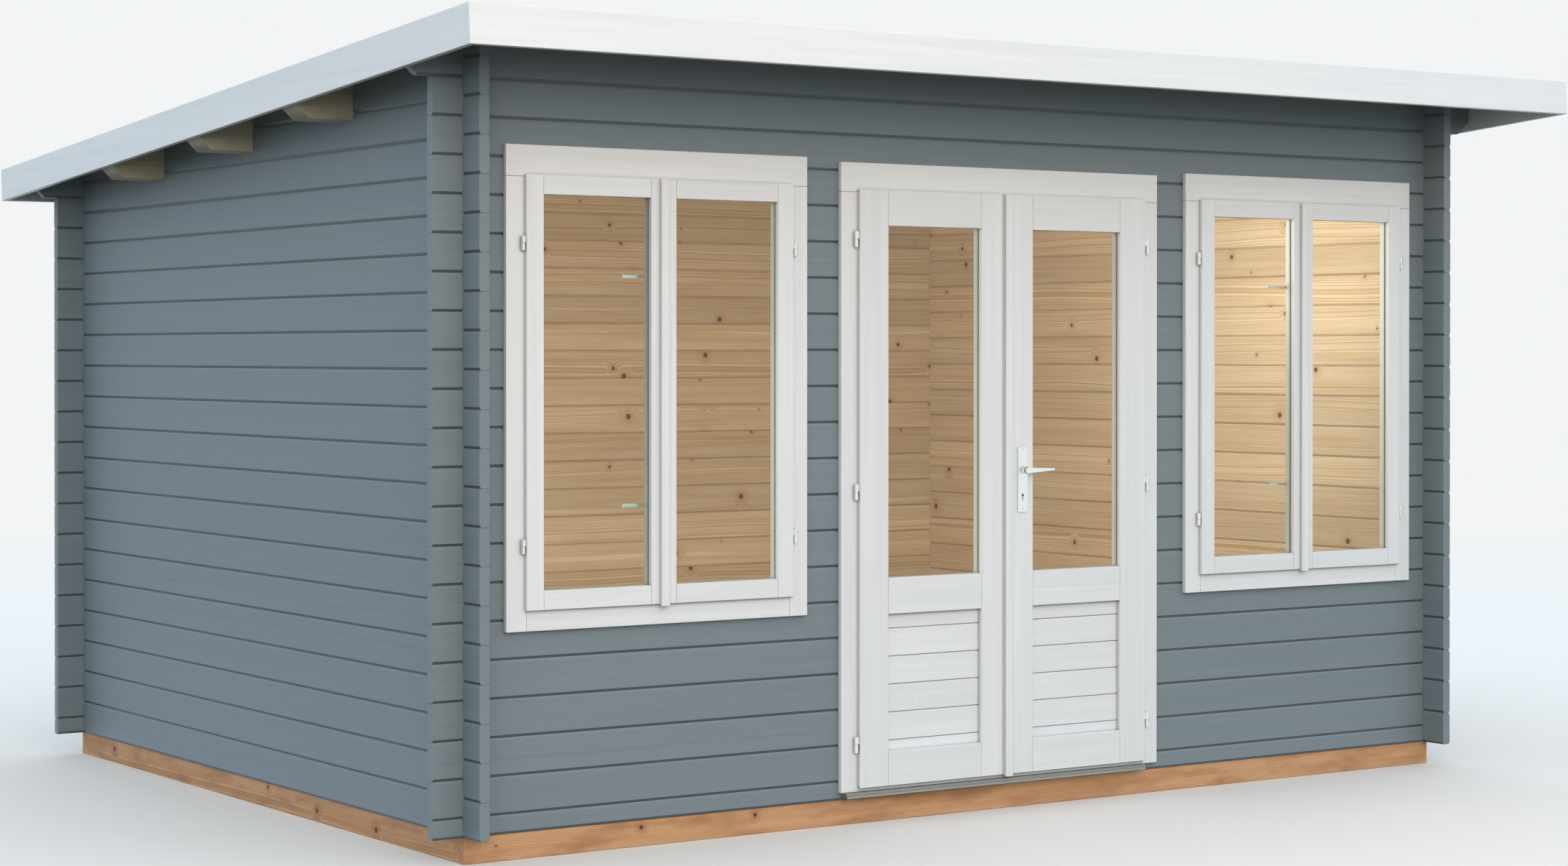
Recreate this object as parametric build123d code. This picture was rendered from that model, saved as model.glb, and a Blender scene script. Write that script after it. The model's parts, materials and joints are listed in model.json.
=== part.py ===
from build123d import *

import math
import os

# Garden office pod: a small timber cabin of interlocking horizontal logs on
# impregnated beams, with a single slope roof, two double windows and a double
# glazed door in its front wall. Lengths are in millimetres. X runs along the
# front, Y to the back and Z up. While the pieces are made, X is 0 in the middle
# of the cabin, Y is 0 on the outer face of the front wall and Z is 0 on the ground.

# Walls
wall_width = 4000.0  # over the outer faces of the side walls
wall_depth = 3000.0  # over the outer faces of the front and back walls
wall_thickness = 34.0
log_height = 114.0
stub_length = 100.0  # how far the logs run past each corner
groove_depth = 4.5  # bevel on the long edges of a log, into the wall
groove_above = 8.0  # height of the bevel under a log
groove_below = 10.0  # height of the bevel on top of a log
notch_fit = 0.2  # free play beside a crossing log

# Beams and floor
beam_height = 80.0
beam_width = 60.0
beam_inset = 6.0  # from the outer faces of the walls
joist_count = 5
floor_thickness = 20.0
floor_margin = 4.0  # free edge between the floor and the walls

# Roof
roof_slope = 4.37  # degrees, falling to the back
side_overhang = 220.0
front_overhang = 450.0
back_overhang = 222.0
eaves_height = 2271.0  # lower front edge of the front fascia above the beams
fascia_height = 118.0  # square to the roof
fascia_thickness = 20.0
soffit_rise = 87.0  # from the lower edge of the fascia to the roof boards
roof_board_thickness = 19.0
felt_thickness = 2.5
trim_gap = 0.3  # open joint between boards that meet
purlin_width = 118.0
purlin_depth = 127.0  # on its front side, under the roof boards
purlin_start = 718.0  # front face of the first purlin
purlin_pitch = 742.0
purlin_count = 3
bracket_chamfer = 52.0  # at the outer ends of the purlins and the top logs

# Front wall openings
openings_shift = 5.0  # of the door and the windows, to the right of the middle
window_centre = 1331.0  # from the middle of the door to the middle of a window
window_width = 1080.0  # over the casing
window_bottom = 595.0  # under the casing, above the beams
window_height = 1439.0  # over the casing
door_width = 1321.0  # over the casing
door_bottom = 24.5
door_top = 2023.0
casing_width = 68.0
casing_head = 94.0  # height of the board over an opening
casing_thickness = 18.0
frame_thickness = 30.0
stop_depth = 15.0  # how far the stop of a frame stands into its opening
stop_thickness = 16.5
log_gap = 5.0  # from a frame to the cut ends of the logs

# Sashes and leaves
leaf_proud = 14.0  # how far they stand in front of the casing
leaf_thickness = 44.0
glass_thickness = 4.0
glass_recess = 17.5  # behind the front of the sash
glass_bite = 8.0  # how far the pane goes into its groove
glass_fit = 0.5
window_margin = 62.0  # from the outer edge of the casing to the sash
window_overlap_below = 62.0
window_overlap_above = 88.0
sash_stile = 58.0
sash_meeting_stile = 45.0
sash_rail = 58.0
sash_lip = 8.0
strip_width = 29.0
strip_thickness = 12.0
strip_drop = 6.5  # how far a cover strip runs below its sash
door_margin = 64.0
door_leaf_bottom = 36.5
door_leaf_top = 1938.5
door_lip = 10.0
door_lip_thickness = 9.0
door_running_gap = 6.5  # between the two leaves
door_meeting_shift = -17.0  # of that gap, from the middle of the door
door_sill_top = 36.0
door_stile = 112.0
door_left_meeting_stile = 87.5
door_right_meeting_stile = 120.5
door_top_rail = 114.5
door_middle_rail_bottom = 585.0
door_middle_rail_top = 700.5
door_bottom_rail = 110.5
panel_recess = 16.0
panel_thickness = 18.0
panel_board = 89.4
panel_first_groove = 180.0  # above the beams
panel_groove = 4.0

# Metalwork
hinge_radius = 6.35
hinge_length = 51.0  # of a door hinge
window_hinge_length = 43.0
hinge_split = 0.8
hinge_pin_radius = 3.5
hinge_bore_radius = 3.8
hinge_reach = 52.5  # from the outer edge of the casing to the axis
hinge_proud = 8.0  # from the casing to the axis
hinge_arm = 5.0  # thickness of the arm that holds a knuckle
hinge_root = 4.8  # from the axis to the start of an arm, inside the knuckle
door_hinge_heights = [175.5, 977.5, 1779.5]
window_hinge_heights = [847.0, 1743.0]
threshold_left = -649.0  # from the middle of the door
threshold_right = 597.0
threshold_bottom = 8.0
threshold_proud = 32.0
threshold_lip = 3.0
threshold_lip_height = 6.0
plate_width = 40.0
plate_height = 216.0
plate_bottom = 895.5
plate_thickness = 4.0
plate_inset = 75.0  # from the free edge of the right leaf to the middle of the plate
plate_corner = 4.0
lever_height = 1033.0
lever_neck_radius = 9.0
lever_neck = 34.0
lever_length = 112.0
lever_root = 19.0  # height of the lever at its neck
lever_tip = 7.5
lever_thickness = 10.0
spindle_radius = 4.0
spindle_fit = 0.6
lever_gap = 0.5  # between the neck and the face of the leaf
keyhole_height = 951.0
keyhole_radius = 4.2
keyhole_slot = 3.0
keyhole_length = 16.0
latch_height = 10.0
latch_thickness = 4.0
latch_left = 123.0  # from the meeting line of the two sashes
latch_right = 22.0
latch_heights = [957.0, 1650.0]
latch_boss_radius = 8.0
cut_past = 1.0  # how far a cut runs past the face that it opens

half_width = wall_width / 2
slope = math.radians(roof_slope)
ground = beam_height
front_reach = -front_overhang
roof_run = wall_depth + front_overhang + back_overhang
roof_length = roof_run / math.cos(slope)
back_reach = front_reach + roof_run + fascia_height * math.sin(slope)
middle_y = (front_reach + back_reach) / 2
sash_front = -casing_thickness - leaf_proud
sash_back = sash_front + leaf_thickness
window_frame_top = window_bottom + window_height - casing_head + frame_thickness
door_frame_top = door_top - casing_head + frame_thickness
window_last_course = math.ceil(window_frame_top / log_height - 0.5)
door_last_course = math.ceil(door_frame_top / log_height - 0.5)
sill_course = math.floor((window_bottom + casing_width) / log_height - 0.5)
opening_bottom = (sill_course + 0.5) * log_height


def box(x0, x1, y0, y1, z0, z1):
    """A plain block between two corners."""
    block = Box(x1 - x0, y1 - y0, z1 - z0)
    return Pos((x0 + x1) / 2, (y0 + y1) / 2, (z0 + z1) / 2) * block


def prism(points, direction, length):
    """A straight bar whose end has the given corners."""
    end = make_face(Polyline(*points, close=True))
    return extrude(end, amount=length, dir=direction)


def rod(centre, radius, length, direction=(0, 0, 1)):
    """A round bar from a centre along a direction."""
    return extrude(Plane(origin=centre, z_dir=direction) * Circle(radius), amount=length)


def soffit(y):
    """Height of the underside of the roof boards, above the ground."""
    rise = soffit_rise / math.cos(slope)
    return ground + eaves_height + rise - (y - front_reach) * math.tan(slope)


def roof_point(along, square):
    """Y and Z of a point given along the slope and square to it."""
    y = front_reach + along * math.cos(slope) + square * math.sin(slope)
    z = ground + eaves_height - along * math.sin(slope) + square * math.cos(slope)
    return y, z


def above_roof():
    """Everything over the underside of the roof boards, to trim walls with."""
    y0, y1 = -2 * front_overhang, wall_depth + 2 * front_overhang
    top = soffit(y0) + wall_depth
    corners = [(y0, soffit(y0)), (y1, soffit(y1)), (y1, top), (y0, top)]
    x0 = -half_width - 2 * side_overhang
    return prism([(x0, y, z) for y, z in corners], (1, 0, 0), -2 * x0)


def log_section(low, high, flat_top=False):
    """Corners of a log's end: distance into the wall, and height."""
    inner = wall_thickness
    cut = groove_depth
    bottom = [
        (0, low + groove_above),
        (cut, low),
        (inner - cut, low),
        (inner, low + groove_above),
    ]
    top = [(inner, high), (0, high)]
    if not flat_top:
        top = [
            (inner, high - groove_below),
            (inner - cut, high),
            (cut, high),
            (0, high - groove_below),
        ]
    return bottom + top


def notches(low, high, across):
    """Cuts above and below the middle half of a log, over a crossing."""
    quarter = log_height / 4
    x0, x1, y0, y1 = across
    full_low = high - log_height
    cuts = []
    if full_low + quarter > low:
        cuts.append(box(x0, x1, y0, y1, low - cut_past, full_low + quarter))
    cuts.append(box(x0, x1, y0, y1, high - quarter, high + cut_past))
    return cuts


def crossing_plan(x_wall, y_face):
    """Plan of the square where a front or back log meets a side wall."""
    return (
        x_wall - notch_fit,
        x_wall + wall_thickness + notch_fit,
        y_face - notch_fit,
        y_face + wall_thickness + notch_fit,
    )


def wall_faces():
    """Low side of the left and the right wall, along X."""
    return [-half_width, half_width - wall_thickness]


def window_edges(side):
    """Outer edges of a window casing, along X."""
    middle = openings_shift + side * window_centre
    return middle - window_width / 2, middle + window_width / 2


def door_edges():
    """Outer edges of the door casing, along X."""
    return openings_shift - door_width / 2, openings_shift + door_width / 2


def cut_back():
    """From the outer edge of a casing to the cut ends of the logs."""
    return casing_width - frame_thickness - log_gap


def front_spans(course):
    """Stretches of a front log between the openings, along X."""
    start, end = -half_width - stub_length, half_width + stub_length
    back = cut_back()
    gaps = []
    if course <= door_last_course:
        left, right = door_edges()
        gaps.append((left + back, right - back))
    if sill_course < course <= window_last_course:
        for side in (-1, 1):
            left, right = window_edges(side)
            gaps.append((left + back, right - back))
    spans = []
    for left, right in sorted(gaps):
        spans.append((start, left))
        start = right
    spans.append((start, end))
    return spans


def long_log(x0, x1, y_face, course):
    """One stretch of a front or back log, notched over the side walls."""
    high = ground + (course + 0.5) * log_height
    low = max(high - log_height, ground)
    points = [(x0, y_face + across, z) for across, z in log_section(low, high)]
    log = prism(points, (1, 0, 0), x1 - x0)
    for x_wall in wall_faces():
        if x0 < x_wall and x1 > x_wall + wall_thickness:
            for cut in notches(low, high, crossing_plan(x_wall, y_face)):
                log -= cut
    return log


def top_log(y_face, course):
    """The uppermost log, cut to the roof and carried out as a bracket."""
    low = ground + (course - 0.5) * log_height
    high = soffit(y_face) + log_height
    reach = half_width + side_overhang - fascia_thickness - trim_gap
    section = log_section(low, high, flat_top=True)
    points = [(-reach, y_face + across, z) for across, z in section]
    log = prism(points, (1, 0, 0), 2 * reach)
    quarter = log_height / 4
    for x_wall in wall_faces():
        x0, x1, y0, y1 = crossing_plan(x_wall, y_face)
        log -= box(x0, x1, y0, y1, low - cut_past, low + quarter)
        log -= box(x0, x1, y0, y1, low + 3 * quarter, high)
    for end in (-1, 1):
        log -= end_chamfer(end * reach, end, y_face, wall_thickness, low)
    return log - above_roof()


def end_chamfer(x_end, end, y_face, depth, low):
    """The wedge cut off the lower outer corner of a bracket."""
    past = cut_past
    run = bracket_chamfer + past
    y0 = y_face - past
    points = [
        (x_end + end * past, y0, low - past),
        (x_end - end * run, y0, low - past),
        (x_end + end * past, y0, low + run),
    ]
    return prism(points, (0, 1, 0), depth + 2 * past)


def front_log_sets():
    """Logs of the front wall, every other course in its own set."""
    sets = [[], []]
    top_course = int((soffit(0) - ground) / log_height + 0.5)
    for course in range(top_course):
        for x0, x1 in front_spans(course):
            sets[course % 2].append(long_log(x0, x1, 0, course))
    sets[top_course % 2].append(top_log(0, top_course))
    return sets


def back_log_sets():
    """Logs of the back wall, which has no opening."""
    y_face = wall_depth - wall_thickness
    sets = [[], []]
    top_course = int((soffit(wall_depth) - ground) / log_height + 0.5)
    reach = half_width + stub_length
    for course in range(top_course):
        sets[course % 2].append(long_log(-reach, reach, y_face, course))
    sets[top_course % 2].append(top_log(y_face, top_course))
    return sets


def side_log_sets(x_wall, purlin_blocks):
    """Logs of a side wall, trimmed to the roof and let around the purlins."""
    sets = [[], []]
    start, end = -stub_length, wall_depth + stub_length
    roof = above_roof()
    course = 0
    while ground + course * log_height < soffit(start):
        low = ground + course * log_height
        high = low + log_height
        points = [(x_wall + across, start, z) for across, z in log_section(low, high)]
        log = prism(points, (0, 1, 0), end - start)
        for y_face in (0, wall_depth - wall_thickness):
            plan = crossing_plan(x_wall, y_face)
            for cut in notches(low, high, plan):
                log -= cut
        if high > soffit(end) - purlin_depth:
            log -= roof
            for block in purlin_blocks:
                log -= block
        sets[course % 2].extend(log.solids())
        course += 1
    return sets


def purlin_faces():
    """Front face and underside of each purlin."""
    faces = []
    for index in range(purlin_count):
        y = purlin_start + index * purlin_pitch
        faces.append((y, soffit(y) - purlin_depth))
    return faces


def purlin_cutters():
    """Room that the side walls leave for the purlins."""
    reach = half_width + side_overhang
    cutters = []
    for y, low in purlin_faces():
        y0, y1 = y - notch_fit, y + purlin_width + notch_fit
        cutters.append(box(-reach, reach, y0, y1, low, low + 2 * purlin_depth))
    return cutters


def purlins():
    """Three beams along the cabin that carry the roof boards."""
    reach = half_width + side_overhang - fascia_thickness - trim_gap
    roof = above_roof()
    beams = []
    for y, low in purlin_faces():
        beam = box(-reach, reach, y, y + purlin_width, low, low + 2 * purlin_depth)
        for end in (-1, 1):
            beam -= end_chamfer(end * reach, end, y, purlin_width, low)
        beams.append(beam - roof)
    return beams


def roof_slab(along0, along1, square0, square1, x0, x1):
    """A board or sheet that lies along the roof slope."""
    corners = [
        roof_point(along0, square0),
        roof_point(along1, square0),
        roof_point(along1, square1),
        roof_point(along0, square1),
    ]
    return prism([(x0, y, z) for y, z in corners], (1, 0, 0), x1 - x0)


def roof_pieces():
    """Roof boards, felt and the four boards around the edge."""
    reach = half_width + side_overhang
    edge = fascia_thickness
    inside = reach - edge - trim_gap
    front, back = edge + trim_gap, roof_length - edge - trim_gap
    board_top = soffit_rise + roof_board_thickness
    felt_top = board_top + felt_thickness
    height = fascia_height
    return {
        "roof_boards": [roof_slab(front, back, soffit_rise, board_top, -inside, inside)],
        "roof_felt": [roof_slab(front, back, board_top, felt_top, -inside, inside)],
        "front_fascia": [roof_slab(0, edge, 0, height, -reach, reach)],
        "back_fascia": [
            roof_slab(roof_length - edge, roof_length, 0, height, -reach, reach)
        ],
        "left_bargeboard": [roof_slab(front, back, 0, height, -reach, -reach + edge)],
        "right_bargeboard": [roof_slab(front, back, 0, height, reach - edge, reach)],
    }


def foundation_beams():
    """Beams under the walls, and the joists between them."""
    x_out = half_width - beam_inset
    y_front, y_back = beam_inset, wall_depth - beam_inset
    beams = [
        box(-x_out, x_out, y_front, y_front + beam_width, 0, beam_height),
        box(-x_out, x_out, y_back - beam_width, y_back, 0, beam_height),
    ]
    y0 = y_front + beam_width + trim_gap
    y1 = y_back - beam_width - trim_gap
    span = 2 * x_out - beam_width
    for index in range(joist_count + 2):
        x = -x_out + index * span / (joist_count + 1)
        beams.append(box(x, x + beam_width, y0, y1, 0, beam_height))
    return beams


def floor_boards():
    """The boarded floor, laid on the beams between the walls."""
    x = half_width - wall_thickness - floor_margin
    y0 = wall_thickness + floor_margin
    y1 = wall_depth - y0
    return [box(-x, x, y0, y1, ground, ground + floor_thickness)]


def casing_boards(edges, low, high, bottom_board):
    """Boards around an opening, on the outside and the inside of the wall."""
    left, right = edges
    boards = []
    head = high - casing_head
    layers = [(-casing_thickness, 0), (wall_thickness, wall_thickness + casing_thickness)]
    for y0, y1 in layers:
        boards.append(box(left, right, y0, y1, head + trim_gap, high))
        boards.append(box(left, left + casing_width, y0, y1, low, head))
        boards.append(box(right - casing_width, right, y0, y1, low, head))
        if bottom_board:
            x0 = left + casing_width + trim_gap
            x1 = right - casing_width - trim_gap
            boards.append(box(x0, x1, y0, y1, low, low + casing_width))
    return boards


def frame_side(x_edge, inward, z0, z1):
    """An upright of a frame, with the stop that the sash closes against."""
    outer = x_edge - inward * frame_thickness
    stop = x_edge + inward * stop_depth
    y_stop = wall_thickness - stop_thickness
    points = [
        (outer, 0, z0),
        (x_edge, 0, z0),
        (x_edge, y_stop, z0),
        (stop, y_stop, z0),
        (stop, wall_thickness, z0),
        (outer, wall_thickness, z0),
    ]
    return prism(points, (0, 0, 1), z1 - z0)


def frame_bar(x0, x1, z_edge, z_outer):
    """A level member of a frame, with its stop."""
    upward = 1 if z_edge > z_outer else -1
    stop = z_edge + upward * stop_depth
    y_stop = wall_thickness - stop_thickness
    points = [
        (x0, 0, z_outer),
        (x0, 0, z_edge),
        (x0, y_stop, z_edge),
        (x0, y_stop, stop),
        (x0, wall_thickness, stop),
        (x0, wall_thickness, z_outer),
    ]
    return prism(points, (1, 0, 0), x1 - x0)


def window_frame(side):
    """The fixed frame of a window, inside the cut logs."""
    left, right = window_edges(side)
    x0, x1 = left + casing_width, right - casing_width
    z0 = ground + window_bottom + casing_width
    z1 = ground + window_bottom + window_height - casing_head
    low, high = ground + opening_bottom, z1 + frame_thickness
    sides = [frame_side(x0, 1, low, high), frame_side(x1, -1, low, high)]
    inner0, inner1 = x0 + stop_depth + trim_gap, x1 - stop_depth - trim_gap
    sill = frame_bar(inner0, inner1, z0, low)
    head = frame_bar(inner0, inner1, z1, high)
    shoulders = []
    for bar, z_edge, z_outer in ((sill, z0, low), (head, z1, high)):
        y_stop = wall_thickness - stop_thickness - trim_gap
        wide = box(x0 + trim_gap, x1 - trim_gap, 0, y_stop, min(z_edge, z_outer), max(z_edge, z_outer))
        shoulders.append(bar + wide)
    return sides + shoulders


def lipped_bar(x0, x1, z0, z1, lips, lip_back):
    """A stile or rail whose front lip laps over the casing.

    lips gives how far the lip stands past the body on the left, right,
    bottom and top of the piece.
    """
    left, right, bottom, top = lips
    face = box(x0, x1, sash_front, lip_back, z0, z1)
    body = box(x0 + left, x1 - right, lip_back, sash_back, z0 + bottom, z1 - top)
    return face + body


def pane_space(x0, x1, z0, z1, recess, thickness, bite, fit):
    """Groove that a pane or a panel sits in."""
    y0 = sash_front + recess
    return box(
        x0 - bite - fit,
        x1 + bite + fit,
        y0 - fit,
        y0 + thickness + fit,
        z0 - bite - fit,
        z1 + bite + fit,
    )


def pane(x0, x1, z0, z1):
    """A sheet of glass that goes into its grooves all round."""
    y0 = sash_front + glass_recess
    bite = glass_bite
    return box(x0 - bite, x1 + bite, y0, y0 + glass_thickness, z0 - bite, z1 + bite)


def window_sash_edges(side):
    """Outer edges, meeting line and heights of the two sashes of a window."""
    left, right = window_edges(side)
    z0 = ground + window_bottom + window_overlap_below
    z1 = ground + window_bottom + window_height - window_overlap_above
    return left + window_margin, right - window_margin, (left + right) / 2, z0, z1


def window_sashes(side):
    """Two glazed sashes side by side, each of two stiles and two rails."""
    left, right, middle, z0, z1 = window_sash_edges(side)
    lip = sash_lip
    lip_back = -casing_thickness - trim_gap
    wood, glass = [], []
    for x0, x1, lip0, lip1 in (
        (left, middle - trim_gap / 2, lip, 0),
        (middle + trim_gap / 2, right, 0, lip),
    ):
        wide0 = sash_stile if lip0 else sash_meeting_stile
        wide1 = sash_stile if lip1 else sash_meeting_stile
        g0, g1 = x0 + wide0, x1 - wide1
        h0, h1 = z0 + sash_rail, z1 - sash_rail
        space = pane_space(
            g0, g1, h0, h1, glass_recess, glass_thickness, glass_bite, glass_fit
        )
        bars = [
            lipped_bar(x0, g0, z0, z1, (lip0, 0, lip, lip), lip_back),
            lipped_bar(g1, x1, z0, z1, (0, lip1, lip, lip), lip_back),
            lipped_bar(g0 + trim_gap, g1 - trim_gap, z0, h0, (0, 0, lip, 0), lip_back),
            lipped_bar(g0 + trim_gap, g1 - trim_gap, h1, z1, (0, 0, 0, lip), lip_back),
        ]
        wood += [bar - space for bar in bars]
        glass.append(pane(g0, g1, h0, h1))
    return wood, glass


def window_cover_strip(side):
    """The strip over the meeting line, fixed to the right sash."""
    middle, z0, z1 = window_sash_edges(side)[2:]
    x0 = middle - strip_width / 2
    y0 = sash_front - strip_thickness
    return [box(x0, x0 + strip_width, y0, sash_front, z0 - strip_drop, z1)]


def window_fittings(side):
    """Hinges beside the sashes, and the latches behind the meeting stiles."""
    left, right = window_edges(side)
    middle = (left + right) / 2
    y_axis = -casing_thickness - hinge_proud
    pieces = []
    for x_edge, inward in ((left, 1), (right, -1)):
        x_axis = x_edge + inward * hinge_reach
        x_lip = x_edge + inward * window_margin
        for height in window_hinge_heights:
            z = ground + height
            z0, z1 = z - window_hinge_length / 2, z + window_hinge_length / 2
            barrel = rod((x_axis, y_axis, z0), hinge_radius, window_hinge_length)
            ring = rod((x_axis, y_axis, z), hinge_radius + cut_past, hinge_split)
            ring -= rod((x_axis, y_axis, z), hinge_pin_radius, hinge_split)
            arm = hinge_block(x_axis, x_lip, y_axis, z, z1)
            foot = hinge_foot(x_axis, y_axis, z0, z)
            pieces.append(barrel - ring + arm + foot)
    for height in latch_heights:
        z = ground + height
        y0, y1 = sash_back, sash_back + latch_thickness
        half = latch_height / 2
        bar = box(middle - latch_left, middle + latch_right, y0, y1, z - half, z + half)
        boss_x = middle + latch_right - latch_boss_radius
        boss = rod((boss_x, y1, z), latch_boss_radius, latch_thickness, (0, 1, 0))
        pieces.append(bar + boss)
    return pieces


def hinge_block(x_axis, x_lip, y_axis, z0, z1):
    """Arm from a knuckle to the edge of its sash or leaf."""
    y0 = y_axis - hinge_arm / 2
    inset = 2 * hinge_split
    root = x_axis + math.copysign(hinge_root, x_lip - x_axis)
    x0, x1 = sorted((root, x_lip))
    return box(x0, x1, y0, y0 + hinge_arm, z0 + inset, z1 - inset)


def hinge_foot(x_axis, y_axis, z0, z1):
    """Foot from a knuckle back to the casing."""
    half = hinge_arm / 2
    inset = 2 * hinge_split
    y0 = y_axis + hinge_root
    return box(x_axis - half, x_axis + half, y0, -casing_thickness, z0 + inset, z1 - inset)


def door_frame():
    """The fixed frame of the door: sill, two uprights and a head."""
    left, right = door_edges()
    x0, x1 = left + casing_width, right - casing_width
    head = ground + door_top - casing_head
    sill_top = ground + door_sill_top
    outer0, outer1 = x0 - frame_thickness, x1 + frame_thickness
    sill = box(outer0, outer1, 0, wall_thickness, ground, sill_top)
    front = box(
        x0 + trim_gap,
        x1 - trim_gap,
        -casing_thickness + trim_gap,
        0,
        ground + door_bottom,
        sill_top,
    )
    y_stop = wall_thickness - stop_thickness
    stop_top = sill_top + stop_depth
    stop0, stop1 = x0 + stop_depth + trim_gap, x1 - stop_depth - trim_gap
    stop = box(stop0, stop1, y_stop, wall_thickness, sill_top, stop_top)
    top = head + frame_thickness
    sides = [frame_side(x0, 1, sill_top, top), frame_side(x1, -1, sill_top, top)]
    bar = frame_bar(stop0, stop1, head, top)
    wide = box(x0 + trim_gap, x1 - trim_gap, 0, y_stop - trim_gap, head, top)
    return [sill + front + stop, *sides, bar + wide]


def door_threshold():
    """The metal strip in front of the sill, with a lip along its foot."""
    x0 = openings_shift + threshold_left
    x1 = openings_shift + threshold_right
    z0, z1 = ground + threshold_bottom, ground + door_bottom - trim_gap
    y0 = -threshold_proud
    lip_top = z0 + threshold_lip_height
    points = [
        (x0, -trim_gap, z0),
        (x0, y0 - threshold_lip, z0),
        (x0, y0 - threshold_lip, lip_top),
        (x0, y0, lip_top),
        (x0, y0, z1),
        (x0, -trim_gap, z1),
    ]
    return [prism(points, (1, 0, 0), x1 - x0)]


def leaf_edges(side):
    """Hinge edge and free edge of a door leaf, along X."""
    left, right = door_edges()
    meeting = openings_shift + door_meeting_shift
    if side < 0:
        return left + door_margin, meeting - door_running_gap / 2
    return right - door_margin, meeting + door_running_gap / 2


def leaf_axis(side):
    """X and Y of a leaf's hinge axis."""
    left, right = door_edges()
    x_axis = left + hinge_reach if side < 0 else right - hinge_reach
    return x_axis, -casing_thickness - hinge_proud


def leaf_pieces(side):
    """Frame, lower panel and glass of a door leaf."""
    hinge_edge, free_edge = leaf_edges(side)
    x0, x1 = sorted((hinge_edge, free_edge))
    lip0, lip1 = (door_lip, 0) if side < 0 else (0, door_lip)
    if side < 0:
        g0, g1 = x0 + door_stile, x1 - door_left_meeting_stile
    else:
        g0, g1 = x0 + door_right_meeting_stile, x1 - door_stile
    z0, z1 = ground + door_leaf_bottom, ground + door_leaf_top
    lip_back = sash_front + door_lip_thickness
    lip_low = door_lip / 2
    lip_high = door_leaf_top - (door_top - casing_head) + door_lip / 2
    top, bottom = z1 - door_top_rail, z0 + door_bottom_rail
    mid0, mid1 = ground + door_middle_rail_bottom, ground + door_middle_rail_top
    r0, r1 = g0 + trim_gap, g1 - trim_gap
    bars = [
        lipped_bar(x0, g0, z0, z1, (lip0, 0, lip_low, lip_high), lip_back),
        lipped_bar(g1, x1, z0, z1, (0, lip1, lip_low, lip_high), lip_back),
        lipped_bar(r0, r1, z0, bottom, (0, 0, lip_low, 0), lip_back),
        lipped_bar(r0, r1, mid0, mid1, (0, 0, 0, 0), lip_back),
        lipped_bar(r0, r1, top, z1, (0, 0, 0, lip_high), lip_back),
    ]
    glass_space = pane_space(
        g0, g1, mid1, top, glass_recess, glass_thickness, glass_bite, glass_fit
    )
    panel_space = pane_space(
        g0, g1, bottom, mid0, panel_recess, panel_thickness, glass_bite, glass_fit
    )
    if side > 0:
        panel_space += handle_bore()
    wood = [bar - glass_space - panel_space for bar in bars]
    return wood, [lower_panel(g0, g1, bottom, mid0)], [pane(g0, g1, mid1, top)]


def lower_panel(x0, x1, z0, z1):
    """Horizontal boards under the glass, with a groove at each joint."""
    y0 = sash_front + panel_recess
    bite = glass_bite
    panel = box(x0 - bite, x1 + bite, y0, y0 + panel_thickness, z0 - bite, z1 + bite)
    z = ground + panel_first_groove
    while z < z1:
        points = [
            (x0 - bite, y0, z + panel_groove),
            (x0 - bite, y0 + panel_groove, z),
            (x0 - bite, y0, z - panel_groove),
        ]
        panel -= prism(points, (1, 0, 0), x1 - x0 + 2 * bite)
        z += panel_board
    return panel


def door_cover_strip():
    """The strip along the free edge of the right leaf."""
    x0 = leaf_edges(1)[1]
    y0 = sash_front - strip_thickness
    z0 = ground + door_leaf_bottom - strip_drop
    return [box(x0, x0 + strip_width, y0, sash_front, z0, ground + door_leaf_top)]


def fixed_knuckles():
    """Lower half of each door hinge, with its pin, on the casing."""
    pieces = []
    for side in (-1, 1):
        x, y = leaf_axis(side)
        for height in door_hinge_heights:
            z = ground + height
            z0 = z - hinge_length / 2
            half = (hinge_length - hinge_split) / 2
            barrel = rod((x, y, z0), hinge_radius, half)
            pin = rod((x, y, z0), hinge_pin_radius, hinge_length - 2 * hinge_split)
            pieces.append(barrel + pin + hinge_foot(x, y, z0, z0 + half))
    return pieces


def leaf_knuckles(side):
    """Upper half of each hinge of a leaf, bored for the pin."""
    x, y = leaf_axis(side)
    x_lip = leaf_edges(side)[0]
    pieces = []
    for height in door_hinge_heights:
        z0 = ground + height + hinge_split / 2
        half = (hinge_length - hinge_split) / 2
        barrel = rod((x, y, z0), hinge_radius, half)
        bore = rod((x, y, z0), hinge_bore_radius, half - hinge_split)
        arm = hinge_block(x, x_lip, y, z0, z0 + half)
        pieces.append(barrel + arm - bore)
    return pieces


def handle_x():
    """Middle of the handle plates, along X."""
    return leaf_edges(1)[1] + plate_inset


def handle_bore():
    """Round hole through the stile for the spindle."""
    centre = (handle_x(), sash_front - cut_past, ground + lever_height)
    length = leaf_thickness + 2 * cut_past
    return rod(centre, spindle_radius + spindle_fit, length, (0, 1, 0))


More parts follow.
